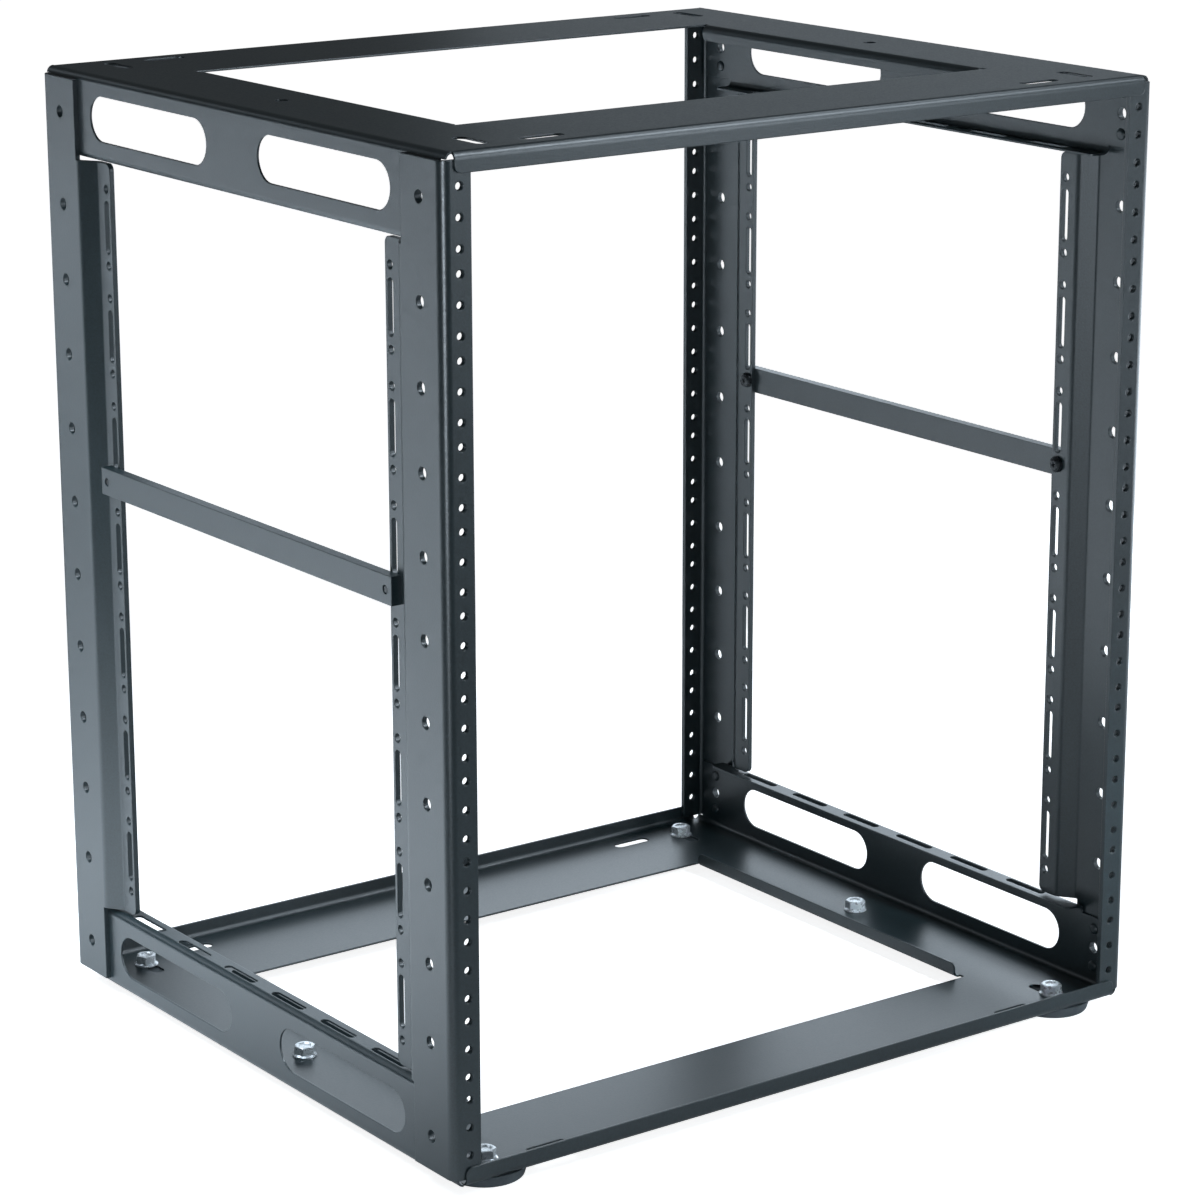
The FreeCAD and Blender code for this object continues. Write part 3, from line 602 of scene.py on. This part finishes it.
screw_black = black_oxide()
screw_low, screw_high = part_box("front_left_bar_screw")
screw_length = screw_high.x - screw_low.x - SCREW_HEAD_HEIGHT

bpy.ops.object.select_all(action="DESELECT")
bpy.ops.mesh.primitive_circle_add(
    vertices=ROUND_SIDES, radius=SCREW_HEAD_RADIUS, fill_type="NGON", location=(0, 0, 0))
screw = start_piece("bar_screw")
for rise, taper in SCREW_HEAD_RINGS:
    raise_faces(rise * SCREW_HEAD_HEIGHT, taper)
bpy.ops.mesh.select_all(action="SELECT")
bpy.ops.mesh.normals_make_consistent(inside=False)
bpy.ops.object.mode_set(mode="OBJECT")

for along in (0, 1):
    bpy.ops.object.select_all(action="DESELECT")
    bpy.ops.mesh.primitive_cube_add(size=1, location=(0, 0, 0))
    slot_cutter = start_piece("screw_recess")
    span = (RECESS_WIDTH, 2 * RECESS_REACH) if along else (2 * RECESS_REACH, RECESS_WIDTH)
    narrowing = (RECESS_SIDE_TAPER, RECESS_END_TAPER) if along else (RECESS_END_TAPER, RECESS_SIDE_TAPER)
    bpy.ops.transform.resize(value=(*span, 2 * RECESS_DEPTH))
    bpy.ops.transform.translate(value=(0, 0, SCREW_HEAD_HEIGHT))
    select_faces(slot_cutter, lambda centre, normal: normal.z < -0.5)
    bpy.ops.transform.resize(value=(*narrowing, 1))
    bpy.ops.object.mode_set(mode="OBJECT")
    combine(screw, slot_cutter, "DIFFERENCE")

rod = threaded_rod("screw_rod", SCREW_RADIUS, SCREW_THREAD_STEP, SCREW_THREAD_DEPTH,
                   screw_length + SCREW_ROOT, SCREW_ROOT)
combine(screw, rod, "UNION")
soften(screw, SCREW_EDGE, screw_black)

for end, twist in (("front", 20), ("rear", 65)):
    for side, outward in (("left", -1), ("right", 1)):
        node = f"{end}_{side}_bar_screw"
        low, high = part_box(node)
        middle = (low + high) / 2
        tip = low.x if outward < 0 else high.x
        head_seat = tip - outward * screw_length
        turn = Matrix.Rotation(-outward * math.pi / 2, 3, "Y") @ Matrix.Rotation(math.radians(twist), 3, "Z")
        piece = place_copy(screw, f"{node}_black", turn.to_euler(), (head_seat, middle.y, middle.z))
        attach(piece, "root")
        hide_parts(node)
scrap(screw)

# Floor
# A plain pale studio floor under the feet, white to the camera, that keeps the rack's soft shadow.
# The coat mirrors a dim studio in the photograph, so mirror rays see only a small share of that white.
FLOOR_REACH = 30.0
MIRROR_SHARE = 0.04
NEAR_GLOW = 0.86
GLOW_FROM = 0.8
GLOW_TO = 1.2


def white_share(tree):
    """The share of the white background that a ray sees: all of it, but only a little in a mirror."""
    path = add_node(tree, "ShaderNodeLightPath", {})
    straight = add_node(tree, "ShaderNodeMath", {
        0: path.outputs["Is Camera Ray"], 1: path.outputs["Is Transmission Ray"]}, operation="MAXIMUM")
    mirrored = add_node(tree, "ShaderNodeMath", {
        0: path.outputs["Is Glossy Ray"], 1: MIRROR_SHARE}, operation="MULTIPLY")
    return add_node(tree, "ShaderNodeMath", {
        0: straight.outputs["Value"], 1: mirrored.outputs["Value"]}, operation="MAXIMUM").outputs["Value"]


bpy.ops.object.select_all(action="DESELECT")
bpy.ops.mesh.primitive_plane_add(size=2 * FLOOR_REACH, location=(0, 0, 0))
floor = bpy.context.object
floor.name = "studio_floor"
white_floor = bpy.data.materials.new("white_studio_floor")
white_floor.use_nodes = True
tree = white_floor.node_tree
tree.nodes.clear()
seen = white_share(tree)
place = add_node(tree, "ShaderNodeTexCoord", {}).outputs["Object"]
away = add_node(tree, "ShaderNodeVectorMath", {0: place}, operation="LENGTH")
level = add_node(tree, "ShaderNodeMapRange", {
    "Value": away.outputs["Value"],
    "From Min": GLOW_FROM, "From Max": GLOW_TO, "To Min": NEAR_GLOW, "To Max": 1.0})
strength = add_node(tree, "ShaderNodeMath", {
    0: seen, 1: level.outputs["Result"]}, operation="MULTIPLY")
paper = add_node(tree, "ShaderNodeBsdfDiffuse", {"Color": linear("#f0f0f0")})
glow = add_node(tree, "ShaderNodeEmission", {
    "Color": linear("#ffffff"), "Strength": strength.outputs["Value"]})
lit = add_node(tree, "ShaderNodeAddShader", {0: paper.outputs["BSDF"], 1: glow.outputs["Emission"]})
add_node(tree, "ShaderNodeOutputMaterial", {"Surface": lit.outputs["Shader"]})
floor.data.materials.append(white_floor)
floor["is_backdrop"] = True

# Studio light
# Two low strips and a box over the floor on the left are the main lights: that floor shows in the left faces.
# Boxes in front on the right light the flanges and the lip, two low panels and a narrow beam light the bottom
# pan's sheet and bolts, and smaller boxes overhead, behind and by the camera draw the folds.
LAMP_COLOUR = "#e5f3ff"
ROOM_FILL = 0.04
room = bpy.data.worlds.new("studio_room")
room.use_nodes = True
tree = room.node_tree
tree.nodes.clear()
fill = add_node(tree, "ShaderNodeBackground", {"Color": linear(LAMP_COLOUR), "Strength": ROOM_FILL})
white = add_node(tree, "ShaderNodeBackground", {"Color": linear("#ffffff"), "Strength": 1.0})
mixed = add_node(tree, "ShaderNodeMixShader", {
    0: white_share(tree), 1: fill.outputs["Background"], 2: white.outputs["Background"]})
add_node(tree, "ShaderNodeOutputWorld", {"Surface": mixed.outputs["Shader"]})
bpy.context.scene.world = room


def soft_box(name, place, target, width, height, watts, spread=180):
    """A rectangular soft light that faces the target, with a grid that limits its spread in degrees."""
    light = bpy.data.lights.new(name, "AREA")
    light.shape = "RECTANGLE"
    light.size = width
    light.size_y = height
    light.energy = watts
    light.color = linear(LAMP_COLOUR)[:3]
    light.spread = math.radians(spread)
    lamp = bpy.data.objects.new(name, light)
    bpy.context.collection.objects.link(lamp)
    lamp.location = place
    lamp.rotation_euler = (Vector(target) - Vector(place)).to_track_quat("-Z", "Y").to_euler()


soft_box("left_strip", place=(-1.08, 0.9, 0.54), target=(-1.03, 0.94, 0),
         width=2.0, height=0.7, watts=9, spread=90)
soft_box("side_strip", place=(-0.46, 0.12, 0.54), target=(-0.42, 0.12, 0),
         width=0.6, height=0.38, watts=1.3, spread=90)
soft_box("rear_left_box", place=(-1.95, 3.0, 1.3), target=(-1.9, 2.9, 0),
         width=2.0, height=1.6, watts=52, spread=130)
soft_box("fold_box", place=(-1.0, 2.1, 1.35), target=(-0.24, 0.05, 0.05),
         width=0.8, height=0.6, watts=0.13, spread=60)
soft_box("front_right_box", place=(1.2, -1.97, 0.9), target=(0, -0.2, 0.5),
         width=0.6, height=1.5, watts=2.6, spread=80)
soft_box("high_right_box", place=(0.9, -1.0, 1.8), target=(0, -0.2, 0.56),
         width=0.8, height=1.0, watts=0.9, spread=30)
soft_box("overhead_box", place=(1.2, 0.0, 2.1), target=(0, -0.1, 0.55),
         width=0.6, height=0.5, watts=0.4, spread=60)
soft_box("rear_panel", place=(0.55, 0.55, 0.29), target=(0.2, -0.2, 0.1),
         width=0.95, height=0.5, watts=2.4)
soft_box("right_panel", place=(1.1, 0.0, 0.2), target=(0, 0, 0.05),
         width=1.6, height=0.35, watts=6)
soft_box("bolt_beam", place=(0.17, -1.5, 0.86), target=(0.2, -0.05, 0.02),
         width=0.1, height=0.1, watts=0.065, spread=8)
soft_box("rear_right_box", place=(2.25, 2.15, 0.95), target=(0, 0, 0.56),
         width=1.5, height=0.6, watts=0.17, spread=60)
soft_box("camera_fill", place=(-1.75, -1.6, 0.22), target=(-0.24, -0.2, 0.5),
         width=0.5, height=0.36, watts=1.5, spread=60)

# Camera
# It stands in front on the left, above the rack, with a long lens as in the photograph.
# Its place and turn, in metres and degrees, were fitted to the rack pattern.
LENS = 115.25
SENSOR_WIDTH = 36
EYE = (-1.2960, -1.7798, 0.8533)
TURN = (74.621, 0.098, -36.197)
view = bpy.data.cameras.new("photo_camera")
view.lens = LENS
view.sensor_width = SENSOR_WIDTH
camera = bpy.data.objects.new("photo_camera", view)
bpy.context.collection.objects.link(camera)
camera.location = EYE
camera.rotation_euler = [math.radians(angle) for angle in TURN]
bpy.context.scene.camera = camera
bpy.context.scene.view_settings.view_transform = "Standard"

# Sizes
# The box of the dressed rack, in metres.
low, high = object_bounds()
